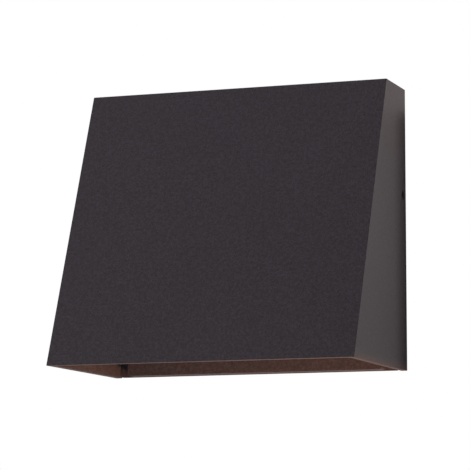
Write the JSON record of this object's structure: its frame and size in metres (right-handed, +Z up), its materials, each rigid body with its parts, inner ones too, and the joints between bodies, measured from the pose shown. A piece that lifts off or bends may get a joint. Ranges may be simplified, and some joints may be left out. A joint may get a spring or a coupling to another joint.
{
  "type": "wall pack light",
  "caption": "Wedge-shaped outdoor wall light: an open-bottomed cast shell over a wall plate, with an LED board, reflector and frosted panel that light the wall below.",
  "frame": {"origin": "middle of the face that lies on the wall", "axes": "+X to the viewer's right, +Y into the wall, +Z up; the light faces -Y"},
  "size_m": [0.1524, 0.088, 0.1386],
  "materials": {
    "shell_paint": "dark bronze powder coat with a fine texture",
    "plate_paint": "dark bronze powder coat with a fine texture",
    "frame_paint": "dark bronze powder coat with a fine texture",
    "black_foam": "closed-cell foam",
    "black_rubber": "smooth moulded",
    "grey_rubber": "smooth moulded",
    "grey_pad": "matte",
    "zinc_steel": "zinc plated",
    "black_screw": "black oxide",
    "green_screw": "green plated",
    "tinned_copper": "tin plated",
    "green_jacket": "smooth extruded",
    "red_jacket": "smooth extruded",
    "black_jacket": "smooth extruded",
    "white_nylon": "moulded",
    "driver_plastic": "moulded, fine texture",
    "cast_aluminium": "as cast",
    "white_mask": "white solder mask",
    "phosphor": "yellow silicone",
    "reflector_white": "smooth moulded",
    "frosted_panel": "frosted"
  },
  "bodies": {
    "wall_side": {"wall_plate": "plate_paint", "wall_gasket": "black_foam", "crossbar": "zinc_steel", "plate_screws": "zinc_steel", "ground_screw": "green_screw", "ring_terminal": "tinned_copper", "ground_lead": "green_jacket", "wire_grommet": "black_rubber", "terminal_block": "white_nylon", "terminal_screws": "zinc_steel", "block_screws": "zinc_steel"},
    "shell": {"housing_shell": "shell_paint", "heat_sink": "cast_aluminium", "sink_screws": "zinc_steel", "thermal_pad": "grey_pad", "led_board": "white_mask", "led_chips": "phosphor", "board_screws": "zinc_steel", "board_connector": "white_nylon", "reflector": "reflector_white", "lens_gasket": "grey_rubber", "lens": "frosted_panel", "lens_frame": "frame_paint", "frame_screws": "black_screw", "driver_case": "driver_plastic", "driver_lid": "driver_plastic", "driver_screws": "zinc_steel", "lead_grommet": "black_rubber", "output_leads": "red_jacket", "input_leads": "black_jacket", "lead_plug": "white_nylon"},
    "set_screw_right": {"set_screw_right": "black_screw"},
    "set_screw_left": {"set_screw_left": "black_screw"}
  },
  "joints": [
    {"name": "shell_slide", "type": "slide", "parent": "wall_side", "child": "shell", "axis": [0, -1, 0], "range_m": [0, 0.06]},
    {"name": "set_screw_right_out", "type": "slide", "parent": "shell", "child": "set_screw_right", "axis": [1, 0, 0], "range_m": [0, 0.003]},
    {"name": "set_screw_left_out", "type": "slide", "parent": "shell", "child": "set_screw_left", "axis": [-1, 0, 0], "range_m": [0, 0.003]}
  ]
}
